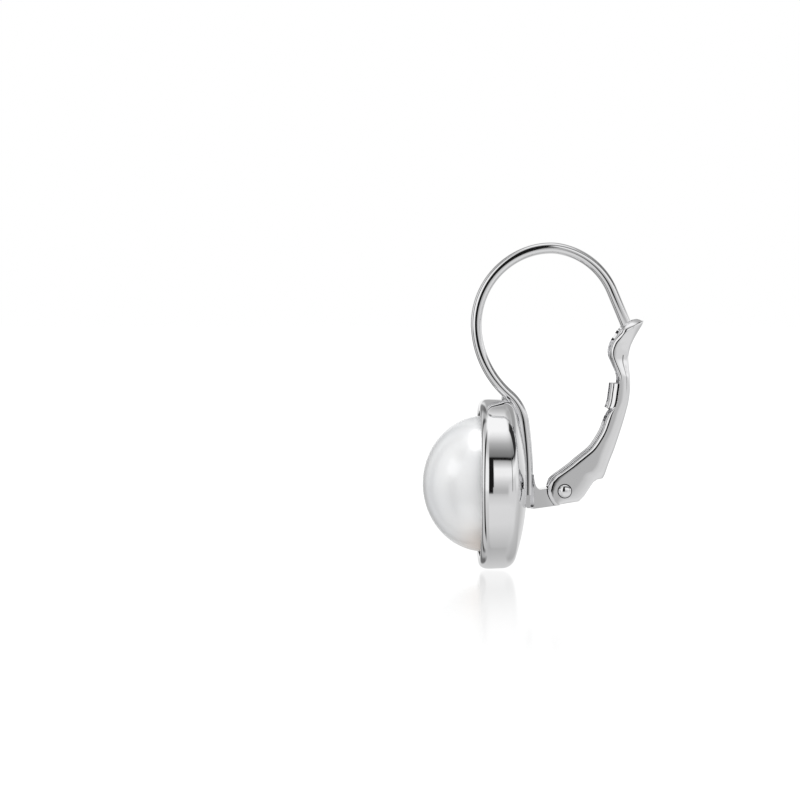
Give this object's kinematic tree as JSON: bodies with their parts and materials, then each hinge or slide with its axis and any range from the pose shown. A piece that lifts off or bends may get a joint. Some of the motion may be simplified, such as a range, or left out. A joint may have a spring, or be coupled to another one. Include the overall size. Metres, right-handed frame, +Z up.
{
  "type": "leverback earring",
  "caption": "Leverback earring: a half pearl in a round bezel whose wire hook drops into a hinged catch lever behind the ear lobe.",
  "frame": {"origin": "inside of the hook's crown, where the earring hangs from the ear lobe", "axes": "+Z up, -Y the way the pearl faces, +Y towards the catch lever, +X across the earring along the hinge rivet"},
  "size_m": [0.0124, 0.016, 0.0236],
  "materials": {
    "polished_silver": "polished rhodium-plated silver",
    "pearl": "white nacre with a soft sheen"
  },
  "bodies": {
    "earring": {"bezel_with_hook": "polished_silver", "half_pearl": "pearl"},
    "lever": {"catch_lever": "polished_silver", "hinge_rivet": "polished_silver"}
  },
  "joints": [
    {"name": "lever_hinge", "type": "hinge", "parent": "earring", "child": "lever", "pos_m": [0, 0.00097, -0.01709], "axis": [-1, 0, 0], "range_deg": [0, 65]}
  ]
}
